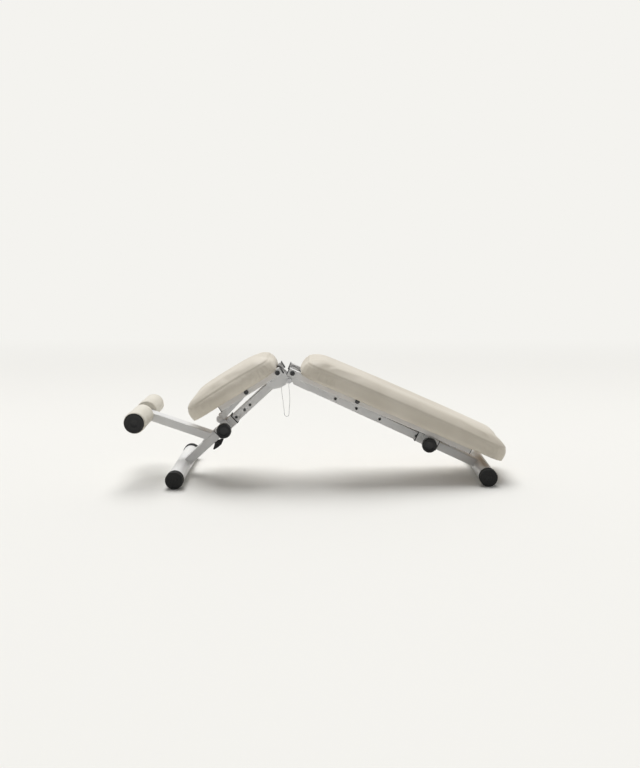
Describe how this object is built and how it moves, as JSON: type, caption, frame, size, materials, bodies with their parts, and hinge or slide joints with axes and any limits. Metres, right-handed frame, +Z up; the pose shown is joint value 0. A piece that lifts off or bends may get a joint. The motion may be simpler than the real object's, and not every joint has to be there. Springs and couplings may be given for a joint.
{
  "type": "adjustable weight bench",
  "caption": "Folding incline and decline weight bench with a tilting seat and backrest on index-pin struts, foam leg rollers and tubular feet.",
  "frame": {"origin": "on the floor, midway between the leg-roller end and the head end, in the plane of symmetry", "axes": "+X towards the head end, +Y to the side away from the pull-pin knobs, +Z up"},
  "size_m": [1.3397, 0.43, 0.43],
  "materials": {
    "white_frame": "satin powder coat",
    "black_rubber": "matte",
    "black_plastic": "matte",
    "knob_plastic": "moulded, satin",
    "pivot_nylon": "natural nylon",
    "black_steel": "black oxide",
    "zinc_steel": "bright zinc",
    "steel_wire": "twisted wire",
    "pad_leather": "leatherette over foam",
    "pad_board": "plywood",
    "roller_vinyl": "vinyl skinned foam",
    "roller_core": "plastic tube"
  },
  "bodies": {
    "rear_frame": {"rear_leg_tube": "white_frame", "rear_foot_tube": "white_frame", "rear_foot_caps": "black_rubber", "rear_hinge_plates": "white_frame", "fold_bolt": "zinc_steel", "fold_nut_and_spacers": "zinc_steel", "back_pivot_bolts": "black_steel", "lanyard_wire": "steel_wire", "lanyard_terminal": "zinc_steel"},
    "lock_pin": {"lock_pin": "zinc_steel", "lock_pin_ring": "zinc_steel"},
    "front_frame": {"front_leg_tube": "white_frame", "front_foot_tube": "white_frame", "front_foot_caps": "black_rubber", "front_hinge_plates": "white_frame", "seat_pivot_bolts": "black_steel", "roller_arm_tube": "white_frame", "roller_arm_plug": "black_plastic", "roller_arm_saddle": "white_frame", "roller_axle": "zinc_steel"},
    "hand_screw": {"hand_screw_stud": "zinc_steel", "hand_screw_wing": "black_plastic"},
    "roller_near": {"roller_foam_near": "roller_vinyl", "roller_core_near": "roller_core", "roller_cap_near": "black_plastic"},
    "roller_far": {"roller_foam_far": "roller_vinyl", "roller_core_far": "roller_core", "roller_cap_far": "black_plastic"},
    "backrest": {"back_rails": "white_frame", "back_rail_caps": "black_plastic", "back_pivot_bushes": "pivot_nylon", "back_cross_bars": "white_frame", "back_strut_axle": "black_steel", "back_pad_board": "pad_board", "back_pad_cushion": "pad_leather", "back_pad_screws": "zinc_steel"},
    "back_strut": {"back_strut_links": "white_frame", "back_strut_sleeves": "zinc_steel"},
    "back_slider": {"back_slider_sleeve": "white_frame", "back_slider_bushes": "black_plastic", "back_slider_bracket": "white_frame", "back_pin_spring": "zinc_steel"},
    "back_pull_pin": {"back_pin_plunger": "zinc_steel", "back_pin_knob": "knob_plastic"},
    "seat": {"seat_rails": "white_frame", "seat_rail_caps": "black_plastic", "seat_pivot_bushes": "pivot_nylon", "seat_cross_bars": "white_frame", "seat_strut_axle": "black_steel", "seat_pad_board": "pad_board", "seat_pad_cushion": "pad_leather", "seat_pad_screws": "zinc_steel"},
    "seat_strut": {"seat_strut_links": "white_frame", "seat_strut_sleeves": "zinc_steel"},
    "seat_slider": {"seat_slider_sleeve": "white_frame", "seat_slider_bushes": "black_plastic", "seat_slider_bracket": "white_frame", "seat_pin_spring": "zinc_steel"},
    "seat_pull_pin": {"seat_pin_plunger": "zinc_steel", "seat_pin_knob": "knob_plastic"}
  },
  "joints": [
    {"name": "fold", "type": "hinge", "parent": "rear_frame", "child": "front_frame", "pos_m": [-0.109, 0, 0.3493], "axis": [0, -1, 0], "range_deg": [0, 100]},
    {"name": "back_tilt", "type": "hinge", "parent": "rear_frame", "child": "backrest", "pos_m": [-0.0968, 0, 0.3829], "axis": [0, -1, 0], "range_deg": [0, 86.6]},
    {"name": "back_strut_turn", "type": "hinge", "parent": "backrest", "child": "back_strut", "pos_m": [0.13175, 0, 0.28281], "axis": [0, 1, 0], "range_deg": [0, 142.26]},
    {"name": "back_slide", "type": "slide", "parent": "rear_frame", "child": "back_slider", "axis": [-0.9063, 0, 0.4226], "range_m": [0, 0.36626]},
    {"name": "back_pull", "type": "slide", "parent": "back_slider", "child": "back_pull_pin", "axis": [0, -1, 0], "range_m": [0, 0.009], "stiffness_N_per_m": 1500, "springref_m": -0.004, "deforming": ["back_pin_spring"]},
    {"name": "seat_tilt", "type": "hinge", "parent": "front_frame", "child": "seat", "pos_m": [-0.1495, 0, 0.3847], "axis": [0, 1, 0], "range_deg": [0, 55.4]},
    {"name": "seat_strut_turn", "type": "hinge", "parent": "seat", "child": "seat_strut", "pos_m": [-0.25987, 0, 0.316], "axis": [0, -1, 0], "range_deg": [0, 96.77]},
    {"name": "seat_slide", "type": "slide", "parent": "front_frame", "child": "seat_slider", "axis": [0.7343, 0, 0.6788], "range_m": [0, 0.11929]},
    {"name": "seat_pull", "type": "slide", "parent": "seat_slider", "child": "seat_pull_pin", "axis": [0, -1, 0], "range_m": [0, 0.009], "stiffness_N_per_m": 1500, "springref_m": -0.004, "deforming": ["seat_pin_spring"]},
    {"name": "lock_pin_slide", "type": "slide", "parent": "rear_frame", "child": "lock_pin", "axis": [0, 1, 0], "range_m": [0, 0.078], "deforming": ["lanyard_wire"]},
    {"name": "hand_screw_turn", "type": "hinge", "parent": "front_frame", "child": "hand_screw", "pos_m": [-0.37654, 0, 0.11764], "axis": [-0.6788, 0, 0.7343], "continuous": true},
    {"name": "roller_near_spin", "type": "hinge", "parent": "front_frame", "child": "roller_near", "pos_m": [-0.636, -0.105, 0.2255], "axis": [0, 1, 0], "continuous": true},
    {"name": "roller_far_spin", "type": "hinge", "parent": "front_frame", "child": "roller_far", "pos_m": [-0.636, 0.105, 0.2255], "axis": [0, 1, 0], "continuous": true}
  ],
  "couplings": [
    {"joint": "back_strut_turn", "follows": "back_tilt", "ratio": 1.6427},
    {"joint": "back_slide", "follows": "back_tilt", "m_per_rad": 0.24232},
    {"joint": "seat_strut_turn", "follows": "seat_tilt", "ratio": 1.7465},
    {"joint": "seat_slide", "follows": "seat_tilt", "m_per_rad": 0.12336}
  ]
}
